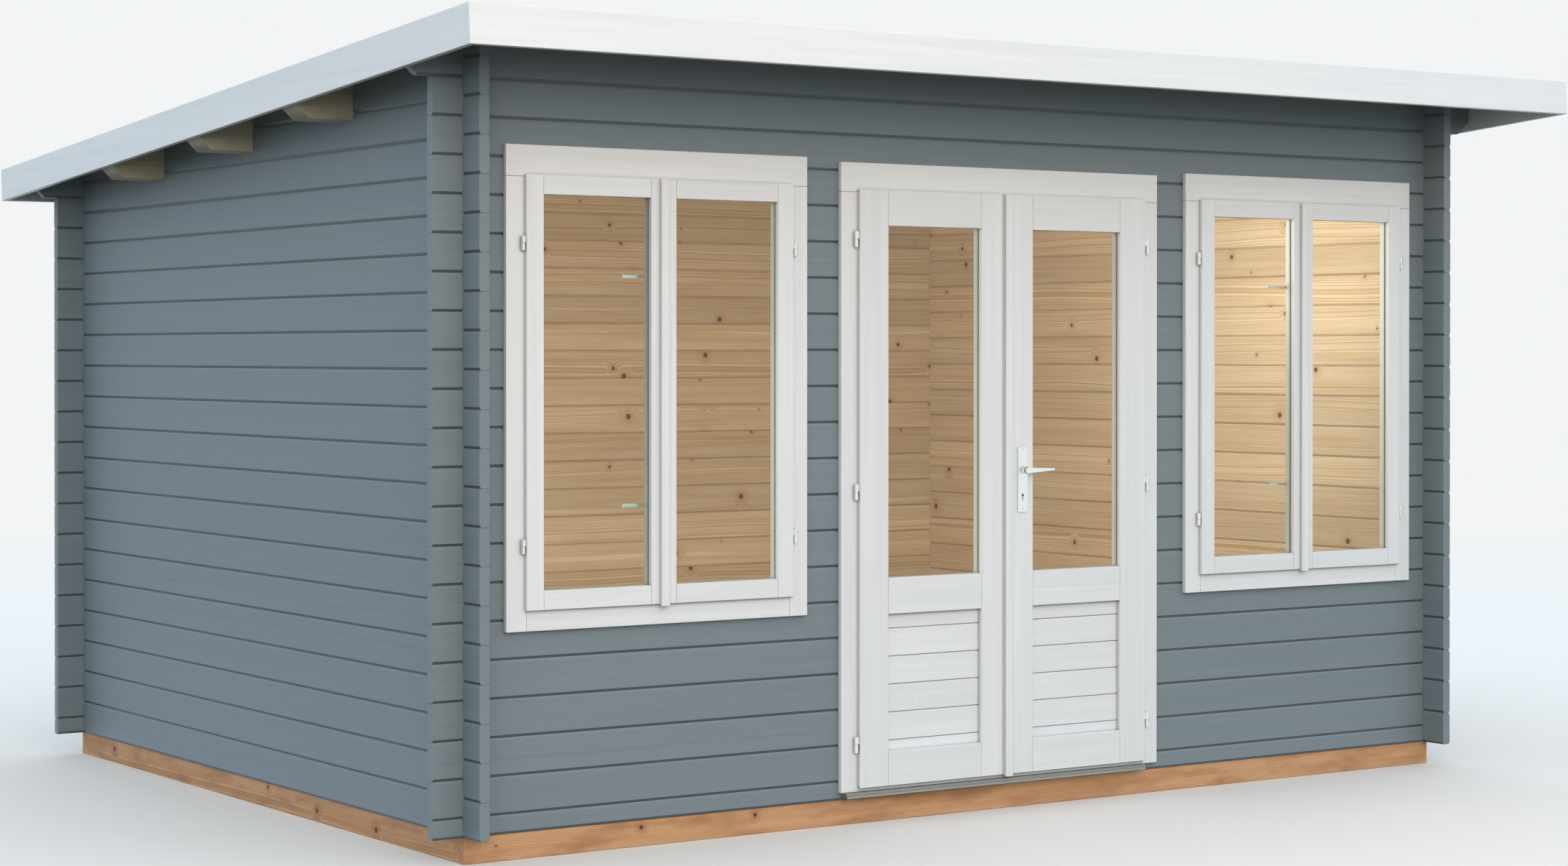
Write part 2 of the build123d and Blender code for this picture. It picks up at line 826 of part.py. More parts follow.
def handle_plates():
    """A plate on each side of the right leaf, with a keyhole."""
    x = handle_x()
    z0 = ground + plate_bottom
    z_middle = z0 + plate_height / 2
    plates = []
    for y, outward in ((sash_front, -1), (sash_back, 1)):
        plane = Plane(origin=(x, y, z_middle), x_dir=(1, 0, 0), z_dir=(0, outward, 0))
        outline = RectangleRounded(plate_width, plate_height, plate_corner)
        plate = extrude(plane * outline, amount=plate_thickness)
        y_low = y - plate_thickness - cut_past
        span = 2 * plate_thickness + 2 * cut_past
        centre = (x, y_low, ground + lever_height)
        plate -= rod(centre, lever_neck_radius + spindle_fit, span, (0, 1, 0))
        z_key = ground + keyhole_height
        plate -= rod((x, y_low, z_key), keyhole_radius, span, (0, 1, 0))
        slot = keyhole_slot / 2
        plate -= box(x - slot, x + slot, y_low, y_low + span, z_key - keyhole_length, z_key)
        plates.append(plate)
    return plates


def door_lever():
    """Levers on both sides of the right leaf, on one spindle."""
    x = handle_x()
    z = ground + lever_height
    spindle_start = sash_front - lever_neck
    spindle_length = leaf_thickness + 2 * lever_neck
    lever = rod((x, spindle_start, z), spindle_radius, spindle_length, (0, 1, 0))
    for y_face, outward in ((sash_front, -1), (sash_back, 1)):
        start = (x, y_face + outward * lever_gap, z)
        neck = lever_neck - lever_gap
        lever += rod(start, lever_neck_radius, neck, (0, outward, 0))
        y_end = y_face + outward * lever_neck
        top = z + lever_root / 2
        points = [
            (x, y_end, top),
            (x + lever_length, y_end, top - lever_tip / 2),
            (x + lever_length, y_end, top - 3 * lever_tip / 2),
            (x, y_end, top - lever_root),
        ]
        blade = prism(points, (0, -outward, 0), lever_thickness)
        lever += blade + rod(
            (x, y_end, z), lever_root / 2, lever_thickness, (0, -outward, 0)
        )
    return [lever]


def all_pieces():
    """Every node's solids by name."""
    nodes = {
        "foundation_beams": foundation_beams(),
        "floor_boards": floor_boards(),
        "purlins": purlins(),
        **roof_pieces(),
    }
    left_wall, right_wall = wall_faces()
    cutters = purlin_cutters()
    walls = {
        "front_wall_logs": front_log_sets(),
        "back_wall_logs": back_log_sets(),
        "left_wall_logs": side_log_sets(left_wall, cutters),
        "right_wall_logs": side_log_sets(right_wall, cutters),
    }
    for name, (even, odd) in walls.items():
        nodes[name + "_a"] = even
        nodes[name + "_b"] = odd
    for name, side in (("left_window", -1), ("right_window", 1)):
        low = ground + window_bottom
        high = low + window_height
        nodes[name + "_casing"] = casing_boards(window_edges(side), low, high, True)
        nodes[name + "_frame"] = window_frame(side)
        sashes, panes = window_sashes(side)
        nodes[name + "_sashes"] = sashes
        nodes[name + "_glass"] = panes
        nodes[name + "_cover_strip"] = window_cover_strip(side)
        nodes[name + "_fittings"] = window_fittings(side)
    low, high = ground + door_bottom, ground + door_top
    nodes["door_casing"] = casing_boards(door_edges(), low, high, False)
    nodes["door_frame"] = door_frame()
    nodes["door_threshold"] = door_threshold()
    nodes["door_hinge_pins"] = fixed_knuckles()
    for name, side in (("left_leaf", -1), ("right_leaf", 1)):
        wood, panel, glass = leaf_pieces(side)
        nodes[name + "_frame"] = wood
        nodes[name + "_panel"] = panel
        nodes[name + "_glass"] = glass
        nodes[name + "_knuckles"] = leaf_knuckles(side)
    nodes["door_cover_strip"] = door_cover_strip()
    nodes["door_handle_plates"] = handle_plates()
    nodes["door_lever"] = door_lever()
    return nodes


os.makedirs("parts", exist_ok=True)
for name, solids in all_pieces().items():
    flat = [solid for piece in solids for solid in piece.solids()]
    placed = Pos(0, -middle_y, 0) * Compound(children=flat)
    export_step(placed, f"parts/{name}.step")
for name, side in (("left leaf", -1), ("right leaf", 1)):
    x, y = leaf_axis(side)
    print(name, "axis", x, y - middle_y)
print("lever axis", handle_x(), ground + lever_height)
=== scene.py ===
import json
import math
import random

import bmesh
import bpy
from mathutils import Matrix, Vector


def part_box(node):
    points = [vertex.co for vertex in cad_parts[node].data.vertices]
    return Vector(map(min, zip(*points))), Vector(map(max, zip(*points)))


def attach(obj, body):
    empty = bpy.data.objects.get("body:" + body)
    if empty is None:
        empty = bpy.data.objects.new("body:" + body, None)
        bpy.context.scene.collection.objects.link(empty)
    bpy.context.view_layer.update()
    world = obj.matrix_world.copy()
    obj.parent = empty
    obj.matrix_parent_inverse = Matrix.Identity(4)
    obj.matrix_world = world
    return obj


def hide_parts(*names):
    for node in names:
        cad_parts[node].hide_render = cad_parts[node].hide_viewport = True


# Garden office pod: slate painted spruce logs, white joinery, natural wood inside.
# Metres, in the frame of the solids: X along the front, Y to the back, Z up.

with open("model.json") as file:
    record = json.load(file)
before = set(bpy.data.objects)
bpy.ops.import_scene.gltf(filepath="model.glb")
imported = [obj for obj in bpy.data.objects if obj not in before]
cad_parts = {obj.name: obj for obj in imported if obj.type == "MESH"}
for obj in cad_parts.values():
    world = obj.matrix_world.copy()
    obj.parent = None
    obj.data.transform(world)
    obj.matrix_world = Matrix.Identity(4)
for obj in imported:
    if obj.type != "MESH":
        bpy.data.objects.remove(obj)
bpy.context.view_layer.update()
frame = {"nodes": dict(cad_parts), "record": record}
mm = 0.001
print("frame loaded")


# helpers for materials


def hexToLinear(hexColour):
    shares = [int(hexColour[i : i + 2], 16) / 255 for i in (1, 3, 5)]
    return (*[s / 12.92 if s <= 0.04045 else ((s + 0.055) / 1.055) ** 2.4 for s in shares], 1)


# another node or a socket is linked to an input, a number or colour is set, and the rest are settings of the node
def addNode(tree, kind, values=None):
    node = tree.nodes.new(kind)
    for name, value in (values or {}).items():
        if isinstance(value, bpy.types.Node):
            value = value.outputs[0]
        if isinstance(value, bpy.types.NodeSocket):
            tree.links.new(value, node.inputs[name])
        elif isinstance(name, int) or name in node.inputs:
            node.inputs[name].default_value = value
        else:
            setattr(node, name, value)
    return node


def startMaterial(name):
    material = bpy.data.materials.new(name)
    material.use_nodes = True
    return material, material.node_tree, material.node_tree.nodes["Principled BSDF"]


# helpers for pieces

smoothAngle = 35  # degrees; faces that meet at less are shaded as one
sharpAngle = 50  # degrees; edges that turn by more are bevelled


def chooseOnly(piece):
    bpy.ops.object.select_all(action="DESELECT")
    piece.select_set(True)
    bpy.context.view_layer.objects.active = piece


def applyModifier(piece, kind, settings):
    chooseOnly(piece)
    modifier = piece.modifiers.new(kind.lower(), kind)
    for name, value in settings.items():
        setattr(modifier, name, value)
    bpy.ops.object.modifier_apply(modifier=modifier.name)


def applyPlace(piece):
    chooseOnly(piece)
    bpy.ops.object.transform_apply(location=True, rotation=True, scale=True)


def rename(piece, name):
    piece.name = piece.data.name = name


def addBlock(middle, size, rotation=(0, 0, 0)):
    bpy.ops.mesh.primitive_cube_add(size=1, location=middle, rotation=rotation, scale=size)
    return bpy.context.object


def addDisc(radius, depth, middle):
    bpy.ops.mesh.primitive_cylinder_add(
        vertices=32, radius=radius, depth=depth, location=middle, rotation=(math.pi / 2, 0, 0)
    )
    disc = bpy.context.object
    applyPlace(disc)
    return disc


def joinBlocks(blocks, name):
    chooseOnly(blocks[0])
    for block in blocks:
        block.select_set(True)
    bpy.ops.object.join()
    piece = bpy.context.object
    rename(piece, name)
    applyPlace(piece)
    return piece


def useSolid(piece, other, operation):
    applyModifier(piece, "BOOLEAN", {"operation": operation, "object": other, "solver": "EXACT"})
    bpy.data.objects.remove(other)


# flat faces keep their own normals, so that only the bevels look round
def smoothFaces(piece):
    chooseOnly(piece)
    bpy.ops.object.shade_smooth_by_angle(angle=math.radians(smoothAngle))
    applyModifier(piece, "WEIGHTED_NORMAL", {"keep_sharp": True, "weight": 100})


def divideFaces(cuts):
    for spot, direction in cuts:
        bpy.ops.mesh.select_all(action="SELECT")
        bpy.ops.mesh.bisect(plane_co=spot, plane_no=direction)


def bodyOf(node):
    for body, nodes in frame["record"]["behaviour"]["bodies"].items():
        if node in nodes:
            return body


def slotOf(node):
    for part in frame["record"]["subparts"]:
        if part["node"] == node:
            return part["material_slot"]


def finishPiece(piece, body, slot, *nodes):
    applyPlace(piece)
    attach(piece, body)
    if nodes:
        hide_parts(*nodes)
    return piece


# camera, as the photograph was taken

view = {
    "place": (-6.2240, -9.1917, 1.4989),
    "heading": 0.5884,  # from the Y axis towards the X axis, in radians
    "pitch": -0.0062,
    "lens": 69.46,
    "sensor": 36,
    "shift": (0.02646, -0.03914),
    "farthest": 200,
}


def addCamera():
    camera = bpy.data.cameras.new("photoCamera")
    camera.lens = view["lens"]
    camera.sensor_width = view["sensor"]
    camera.sensor_fit = "HORIZONTAL"
    camera.shift_x, camera.shift_y = view["shift"]
    camera.clip_end = view["farthest"]
    holder = bpy.data.objects.new("photoCamera", camera)
    holder.location = view["place"]
    holder.rotation_euler = (math.pi / 2 + view["pitch"], 0, -view["heading"])
    bpy.context.scene.collection.objects.link(holder)
    bpy.context.scene.camera = holder


addCamera()
print("camera placed")


# wood: one grain field that the finish of every board reads

grain = {
    "ringWidth": 6 * mm,  # wider than real growth rings, so that they show in a view of the whole cabin
    "lateWood": 2.5,  # the higher, the narrower the dark part of a ring
    "wander": 30 * mm,  # how far a ring drifts across the board
    "knotLength": 0.42,  # along the board, from one knot to the next
    "knotWidth": 0.13,
    "knotFree": 0.42,  # share of these fields without a knot
    "knotRadius": (0.1 * mm, 13 * mm),
    "knotEdge": (1.15, 0.75),  # in radii of the knot
    "swirlReach": (5, 0.5),
    # repeats per metre along, across and through the board, then detail and roughness
    "drift": ((0.9, 3.0, 3.0), 1.5, 0.4),  # the heart of the trunk wanders over a metre or so
    "fibre": ((6, 260, 260), 2, 0.55),  # hairs 4 mm wide and 170 mm long, coarser than real ones so that they show
    "streak": ((1.3, 38, 38), 2, 0.5),  # darker bands 26 mm wide and 770 mm long
    "cloud": ((4.5, 17, 17), 3, 0.6),  # patches of 60 by 220 mm where the stain or the resin went deeper
}


def addGrain(tree):
    place = addNode(tree, "ShaderNodeAttribute", {"attribute_name": "boardPlace"}).outputs["Vector"]
    axes = addNode(tree, "ShaderNodeSeparateXYZ", {0: place})
    field = {"tone": addNode(tree, "ShaderNodeAttribute", {"attribute_name": "boardTone"}).outputs["Fac"]}
    for pattern in ("drift", "fibre", "streak", "cloud"):
        repeats, detail, roughness = grain[pattern]
        drawn = addNode(tree, "ShaderNodeVectorMath", {"operation": "MULTIPLY", 0: place, 1: repeats})
        noise = {"Vector": drawn, "Scale": 1, "Detail": detail, "Roughness": roughness}
        field[pattern] = addNode(tree, "ShaderNodeTexNoise", noise).outputs["Fac"]
    # knots run through the thickness, so only length and width place them
    spacing = (grain["knotLength"], grain["knotWidth"], 0)
    repeats = (1 / spacing[0], 1 / spacing[1], 0)
    cells = addNode(tree, "ShaderNodeVectorMath", {"operation": "MULTIPLY", 0: place, 1: repeats})
    knots = addNode(tree, "ShaderNodeTexVoronoi", {"voronoi_dimensions": "2D", "Scale": 1, "Vector": cells})
    centre = knots.outputs["Position"]
    away = addNode(tree, "ShaderNodeVectorMath", {"operation": "SUBTRACT", 0: cells, 1: centre})
    away = addNode(tree, "ShaderNodeVectorMath", {"operation": "MULTIPLY", 0: away, 1: spacing})
    reach = addNode(tree, "ShaderNodeVectorMath", {"operation": "LENGTH", 0: away}).outputs["Value"]
    chance = addNode(tree, "ShaderNodeSeparateColor", {0: knots.outputs["Color"]})
    least, most = grain["knotRadius"]
    sizes = {"Value": chance, "From Min": grain["knotFree"], "From Max": 1, "To Min": least, "To Max": most}
    size = addNode(tree, "ShaderNodeMapRange", sizes)
    ratio = addNode(tree, "ShaderNodeMath", {"operation": "DIVIDE", 0: reach, 1: size})
    for part, ends in (("knot", grain["knotEdge"]), ("swirl", grain["swirlReach"])):
        fade = {"interpolation_type": "SMOOTHSTEP", "Value": ratio, "From Min": ends[0], "From Max": ends[1]}
        field[part] = addNode(tree, "ShaderNodeMapRange", fade)
    push = addNode(tree, "ShaderNodeMath", {"operation": "MULTIPLY", 0: field["swirl"], 1: size})
    # growth rings: distance from the pith, which drifts slowly along the board and bends round a knot
    wander = {"operation": "MULTIPLY_ADD", 0: field["drift"], 1: 2 * grain["wander"], 2: -grain["wander"]}
    drift = addNode(tree, "ShaderNodeMath", wander)
    across = addNode(tree, "ShaderNodeMath", {"operation": "ADD", 0: axes.outputs["Y"], 1: drift})
    flat = addNode(tree, "ShaderNodeCombineXYZ", {"X": across, "Y": axes.outputs["Z"]})
    pith = addNode(tree, "ShaderNodeVectorMath", {"operation": "LENGTH", 0: flat}).outputs["Value"]
    pith = addNode(tree, "ShaderNodeMath", {"operation": "ADD", 0: pith, 1: push})
    turns = addNode(tree, "ShaderNodeMath", {"operation": "DIVIDE", 0: pith, 1: grain["ringWidth"]})
    ring = addNode(tree, "ShaderNodeMath", {"operation": "FRACT", 0: turns})
    field["late"] = addNode(tree, "ShaderNodeMath", {"operation": "POWER", 0: ring, 1: grain["lateWood"]})
    return field


# the colour times each of the shares
def shadeColour(tree, colour, shares):
    product = shares[0]
    for share in shares[1:]:
        product = addNode(tree, "ShaderNodeMath", {"operation": "MULTIPLY", 0: product, 1: share})
    grey = addNode(tree, "ShaderNodeCombineColor", {i: product for i in range(3)})
    shaded = {"data_type": "RGBA", "blend_type": "MULTIPLY", 0: 1, 6: colour, 7: grey}
    return addNode(tree, "ShaderNodeMix", shaded).outputs[2]


# painted shade on the bevel along the foot of a log, which looks down at a slant: faces turned down at about that
# slant get a darker colour
footBevel = {"down": 0.49, "within": 0.12, "past": 0.22}


def paintFootShade(tree, share):
    facing = addNode(tree, "ShaderNodeNewGeometry").outputs["True Normal"]
    down = addNode(tree, "ShaderNodeSeparateXYZ", {0: facing}).outputs["Z"]
    off = addNode(tree, "ShaderNodeMath", {"operation": "ADD", 0: down, 1: footBevel["down"]})
    off = addNode(tree, "ShaderNodeMath", {"operation": "ABSOLUTE", 0: off})
    ends = {"From Min": footBevel["within"], "From Max": footBevel["past"], "To Min": share, "To Max": 1}
    return addNode(tree, "ShaderNodeMapRange", {"Value": off, **ends})


# in each bare wood below, the last share sets how dark the painted shade on down-turned foot bevels gets
# planed spruce: pale yellow early wood, honey coloured late wood, brown knots, no finish
plainSpruce = {
    "pale": "#F0E1CA",
    "honey": "#CAA77C",
    "knotHeart": "#7A5235",
    "knotRim": "#C19C6E",
    "clouds": 0.1,
    "roughness": 0.62,
    "relief": 0.15,
    "paintedFootShade": 0.75,
}

# impregnated pine: browner than fresh wood, cloudy, with red brown knots
beamPine = {
    "pale": "#DEB083",
    "honey": "#C08656",
    "knotHeart": "#6A2F18",
    "knotRim": "#8F5A34",
    "clouds": 0.5,
    "roughness": 0.7,
    "relief": 0.25,
    "paintedFootShade": 1,
}

# spruce in the shade of the roof, greyed by the weather
eavesSpruce = {
    "pale": "#C8C0AB",
    "honey": "#ACA084",
    "knotHeart": "#6B5340",
    "knotRim": "#93805F",
    "clouds": 0.2,
    "roughness": 0.68,
    "relief": 0.15,
    "paintedFootShade": 0.5,
}


def bareWood(name, look):
    material, tree, shader = startMaterial(name)
    field = addGrain(tree)
    bands = {"Value": field["streak"], "From Min": 0.35, "From Max": 0.75, "To Min": 0, "To Max": 0.55}
    patches = {"Value": field["cloud"], "From Min": 0.45, "From Max": 0.7, "To Min": 0, "To Max": look["clouds"]}
    layers = [
        (field["late"], look["honey"]),
        (addNode(tree, "ShaderNodeMapRange", bands), look["honey"]),
        (addNode(tree, "ShaderNodeMapRange", patches), look["knotRim"]),
        (addNode(tree, "ShaderNodeMath", {"operation": "MULTIPLY", 0: field["swirl"], 1: 0.45}), look["knotRim"]),
        (field["knot"], look["knotHeart"]),
    ]
    wood = hexToLinear(look["pale"])
    for share, colour in layers:
        layer = {"data_type": "RGBA", 0: share, 6: wood, 7: hexToLinear(colour)}
        wood = addNode(tree, "ShaderNodeMix", layer).outputs[2]
    shares = [
        addNode(tree, "ShaderNodeMapRange", {"Value": field["tone"], "To Min": 0.86, "To Max": 1.08}),
        addNode(tree, "ShaderNodeMapRange", {"Value": field["fibre"], "To Min": 0.93, "To Max": 1.07}),
        # painted shade on down-turned foot bevels
        paintFootShade(tree, look["paintedFootShade"]),
    ]
    tree.links.new(shadeColour(tree, wood, shares), shader.inputs["Base Color"])
    shader.inputs["Roughness"].default_value = look["roughness"]
    height = addNode(tree, "ShaderNodeMath", {"operation": "ADD", 0: field["late"], 1: field["fibre"]})
    bump = addNode(tree, "ShaderNodeBump", {"Strength": look["relief"], "Distance": 0.4 * mm, "Height": height})
    tree.links.new(bump.outputs[0], shader.inputs["Normal"])
    return material


# in each paint below, the last two shares set how dark the painted shade gets on down-turned foot bevels and in inner
# corners
# microporous paint on planed spruce: satin, thin enough for the grain to stand up through it
slatePaint = {
    "colour": "#7B868B",
    "roughness": 0.5,
    "relief": 0.35,
    "grainShade": 0.93,
    "paintedFootShade": 0.4,
    "paintedCornerShade": 1,
}
whitePaint = {
    "colour": "#E6E8E9",
    "roughness": 0.42,
    "relief": 0.3,
    "grainShade": 0.965,
    "paintedFootShade": 0.85,
    "paintedCornerShade": 0.6,
}

# painted shade along the inner corners of the joinery: an ambient occlusion node darkens the paint where faces close
# in
corner = {"reach": 14 * mm, "closed": 0.4, "open": 0.9, "samples": 6}


def paintCornerShade(tree, share):
    near = addNode(tree, "ShaderNodeAmbientOcclusion", {"Distance": corner["reach"], "samples": corner["samples"]})
    ends = {"From Min": corner["closed"], "From Max": corner["open"], "To Min": share, "To Max": 1}
    return addNode(tree, "ShaderNodeMapRange", {"Value": near.outputs["AO"], **ends})


def paintedWood(name, look):
    material, tree, shader = startMaterial(name)
    field = addGrain(tree)
    bands = {"Value": field["streak"], "From Min": 0.3, "From Max": 0.7, "To Min": 0.97, "To Max": 1.03}
    shares = [
        addNode(tree, "ShaderNodeMapRange", {"Value": field["late"], "To Min": 1, "To Max": look["grainShade"]}),
        addNode(tree, "ShaderNodeMapRange", bands),
        addNode(tree, "ShaderNodeMapRange", {"Value": field["tone"], "To Min": 0.975, "To Max": 1.02}),
        # painted shade on down-turned foot bevels
        paintFootShade(tree, look["paintedFootShade"]),
    ]
    # painted shade in inner corners, on the white joinery only
    if look["paintedCornerShade"] < 1:
        shares.append(paintCornerShade(tree, look["paintedCornerShade"]))
    paint = shadeColour(tree, hexToLinear(look["colour"]), shares)
    tree.links.new(paint, shader.inputs["Base Color"])
    dull = {"Value": field["streak"], "To Min": look["roughness"] - 0.06, "To Max": look["roughness"] + 0.08}
    tree.links.new(addNode(tree, "ShaderNodeMapRange", dull).outputs[0], shader.inputs["Roughness"])
    height = {"operation": "MULTIPLY_ADD", 0: field["knot"], 1: 1.5, 2: field["late"]}
    height = addNode(tree, "ShaderNodeMath", height)
    height = addNode(tree, "ShaderNodeMath", {"operation": "ADD", 0: height, 1: field["fibre"]})
    bump = addNode(tree, "ShaderNodeBump", {"Strength": look["relief"], "Distance": 0.5 * mm, "Height": height})
    tree.links.new(bump.outputs[0], shader.inputs["Normal"])
    return material


# satin nickel plate on steel: near white, finely brushed, soft highlights
satinNickel = {
    "metallic": 1,
    "marks": (900, 900, 40),  # per metre: 1.1 mm wide and 25 mm high, coarser than real brush marks
    "colours": ("#FAF5E9", "#EFE9DA"),
    "roughness": (0.24, 0.36),
}

# mill finish aluminium: light grey, dull, with the marks of the extrusion
millAluminium = {
    "metallic": 0.85,
    "marks": (12, 700, 700),  # per metre: 1.4 mm wide and 80 mm long
    "colours": ("#B1AC9E", "#98948A"),
    "roughness": (0.34, 0.5),
}


def markedMetal(name, look):
    material, tree, shader = startMaterial(name)
    shader.inputs["Metallic"].default_value = look["metallic"]
    place = addNode(tree, "ShaderNodeTexCoord").outputs["Object"]
    drawn = addNode(tree, "ShaderNodeVectorMath", {"operation": "MULTIPLY", 0: place, 1: look["marks"]})
    marks = addNode(tree, "ShaderNodeTexNoise", {"Vector": drawn, "Scale": 1, "Detail": 2}).outputs["Fac"]
    first, second = (hexToLinear(colour) for colour in look["colours"])
    colour = addNode(tree, "ShaderNodeMix", {"data_type": "RGBA", 0: marks, 6: first, 7: second}).outputs[2]
    tree.links.new(colour, shader.inputs["Base Color"])
    smooth, rough = look["roughness"]
    dull = addNode(tree, "ShaderNodeMapRange", {"Value": marks, "To Min": smooth, "To Max": rough})
    tree.links.new(dull.outputs[0], shader.inputs["Roughness"])
    return material


def evenFinish(name, colour, roughness, metallic=0):
    material, tree, shader = startMaterial(name)
    shader.inputs["Base Color"].default_value = hexToLinear(colour)
    shader.inputs["Roughness"].default_value = roughness
    shader.inputs["Metallic"].default_value = metallic
    return material


# float glass: clear with a trace of green, mirrors the sky at a slant
# one face of the pane sends back 2 percent of what meets it squarely, and all at a grazing slant
pane = {"squarely": 0.02, "falloff": 5, "tint": "#F1F5F2", "roughness": 0.01}


def floatGlass():
    material, tree, shader = startMaterial("floatGlass")
    tree.nodes.remove(shader)
    slant = addNode(tree, "ShaderNodeLayerWeight", {"Blend": 0.5}).outputs["Facing"]
    steep = addNode(tree, "ShaderNodeMath", {"operation": "POWER", 0: slant, 1: pane["falloff"]})
    share = {"operation": "MULTIPLY_ADD", 0: steep, 1: 1 - pane["squarely"], 2: pane["squarely"]}
    share = addNode(tree, "ShaderNodeMath", share)
    clear = addNode(tree, "ShaderNodeBsdfTransparent", {"Color": hexToLinear(pane["tint"])})
    mirror = {"Roughness": pane["roughness"], "Color": hexToLinear("#FFFFFF")}
    mirror = addNode(tree, "ShaderNodeBsdfGlossy", mirror)
    surface = addNode(tree, "ShaderNodeMixShader", {0: share, 1: clear, 2: mirror})
    tree.links.new(surface.outputs[0], tree.nodes["Material Output"].inputs["Surface"])
    return material


# mineral roofing felt: bitumen sheet with dark grey slate granules
granules = {
    "perMetre": 420,  # 2.4 mm each
    "dark": "#33373B",
    "light": "#5B6066",
    "patch": "#44494D",
    "patches": 1.3,  # per metre, where more or fewer have come off
    "roughness": 0.92,
    "relief": 0.6,
}


def mineralFelt():
    material, tree, shader = startMaterial("mineralRoofingFelt")
    place = addNode(tree, "ShaderNodeTexCoord").outputs["Object"]
    grit = addNode(tree, "ShaderNodeTexVoronoi", {"Scale": granules["perMetre"], "Vector": place})
    patches = {"Scale": granules["patches"], "Detail": 3, "Vector": place}
    patch = addNode(tree, "ShaderNodeTexNoise", patches).outputs["Fac"]
    light = addNode(tree, "ShaderNodeSeparateColor", {0: grit.outputs["Color"]})
    slate = hexToLinear(granules["dark"])
    for share, colour in ((light, granules["light"]), (patch, granules["patch"])):
        layer = {"data_type": "RGBA", 0: share, 6: slate, 7: hexToLinear(colour)}
        slate = addNode(tree, "ShaderNodeMix", layer).outputs[2]
    tree.links.new(slate, shader.inputs["Base Color"])
    shader.inputs["Roughness"].default_value = granules["roughness"]
    relief = {"Strength": granules["relief"], "Distance": 1 * mm, "Height": grit.outputs["Distance"]}
    tree.links.new(addNode(tree, "ShaderNodeBump", relief).outputs[0], shader.inputs["Normal"])
    return material


slateWood = paintedWood("slateMicroporousPaint", slatePaint)
whiteWood = paintedWood("whiteJoineryPaint", whitePaint)
spruce = bareWood("planedSpruce", plainSpruce)
roofSpruce = bareWood("weatheredSpruce", eavesSpruce)
pine = bareWood("impregnatedPine", beamPine)
nickel = markedMetal("satinNickelPlate", satinNickel)
keyholeDark = evenFinish("keyholeShadeSteel", "#4A4742", 0.45, 0.9)  # painted shade: a dark keyhole shape, finished as dark steel, stands in for the hollow of each keyhole
rubber = evenFinish("whiteRubber", "#D9DBDC", 0.7)  # matt, a little softer in tone than the paint
aluminium = markedMetal("millFinishAluminium", millAluminium)
glass = floatGlass()
felt = mineralFelt()
print("materials made")


# where the walls are painted: outside and at their ends, but not on the faces of the room

logThickness = 34 * mm
outerFace = 2.0  # from the middle of the cabin to the outside of a side wall
innerFace = {
    "x": outerFace - logThickness,
    "front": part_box("front_wall_logs_a")[0].y + logThickness,
    "back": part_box("back_wall_logs_a")[1].y - logThickness,
}
wallMiddle = {
    "x": outerFace - logThickness / 2,
    "front": innerFace["front"] - logThickness / 2,
    "back": innerFace["back"] + logThickness / 2,
}
grooveRoom = 6 * mm  # a little more than a bevel on a log's long edge goes in


def insideRoom(centre):
    return (
        abs(centre.x) < innerFace["x"] + grooveRoom
        and innerFace["front"] - grooveRoom < centre.y < innerFace["back"] + grooveRoom
    )


# a choice of material for a face: 0 is the first of the piece's materials, 1 the second


def onlyOne(centre, normal):
    return 0


def bareInRoom(centre, normal):
    return int(insideRoom(centre))


# every board carries its own place in a trunk and its own tone, which its grain reads

trunk = {
    "seed": (7.1, 13.7, 29.3),  # parts of the board's corner that set its dice
    "along": (0, 40),
    "across": (-0.03, 0.03),
    "through": (0.02, 0.07),
}


def boardIslands(shape):
    left = set(shape.verts)
    while left:
        seed = left.pop()
        island, edge = [seed], [seed]
        while edge:
            vert = edge.pop()
            for link in vert.link_edges:
                other = link.other_vert(vert)
                if other in left:
                    left.remove(other)
                    island.append(other)
                    edge.append(other)
        yield island


def writeBoards(piece, choose):
    shape = bmesh.new()
    shape.from_mesh(piece.data)
    place = shape.verts.layers.float_vector.new("boardPlace")
    tone = shape.verts.layers.float.new("boardTone")
    shape.verts.ensure_lookup_table()
    for island in sorted(boardIslands(shape), key=lambda island: min(vert.index for vert in island)):
        low = Vector([min(vert.co[i] for vert in island) for i in range(3)])
        high = Vector([max(vert.co[i] for vert in island) for i in range(3)])
        size, middle = high - low, (low + high) / 2
        order = sorted(range(3), key=lambda i: -size[i])
        dice = random.Random(round(sum(low[i] * trunk["seed"][i] for i in range(3)) * 1000))
        slide = [dice.uniform(*trunk[way]) for way in ("along", "across", "through")]
        share = dice.random()
        for vert in island:
            local = vert.co - middle
            vert[place] = Vector([local[order[i]] + slide[i] for i in range(3)])
            vert[tone] = share
    for face in shape.faces:
        face.material_index = choose(face.calc_center_median(), face.normal)
    shape.to_mesh(piece.data)
    shape.free()


# a copy of a node with softened edges; softness in millimetres

weld = {"distance": 0.02 * mm, "flat": math.radians(0.5)}


def softCopy(node, name, materials, choose=onlyOne, softness=1.5, steps=2, angle=sharpAngle, cuts=()):
    mesh = frame["nodes"][node].data.copy()
    mesh.name = name
    mesh.materials.clear()
    for material in materials:
        mesh.materials.append(material)
    piece = bpy.data.objects.new(name, mesh)
    bpy.context.scene.collection.objects.link(piece)
    chooseOnly(piece)
    bpy.ops.object.mode_set(mode="EDIT")
    bpy.ops.mesh.select_all(action="SELECT")
    bpy.ops.mesh.remove_doubles(threshold=weld["distance"])
    bpy.ops.mesh.dissolve_limited(angle_limit=weld["flat"])
    divideFaces(cuts)
    bpy.ops.object.mode_set(mode="OBJECT")
    bevel = {"width": softness * mm, "segments": steps, "angle_limit": math.radians(angle), "use_clamp_overlap": False}
    applyModifier(piece, "BEVEL", {"limit_method": "ANGLE", **bevel})
    writeBoards(piece, choose)
    smoothFaces(piece)
    return finishPiece(piece, bodyOf(node), slotOf(node), node)


# a row of boards in place of a node that is one slab; look gives the joint and the bevel


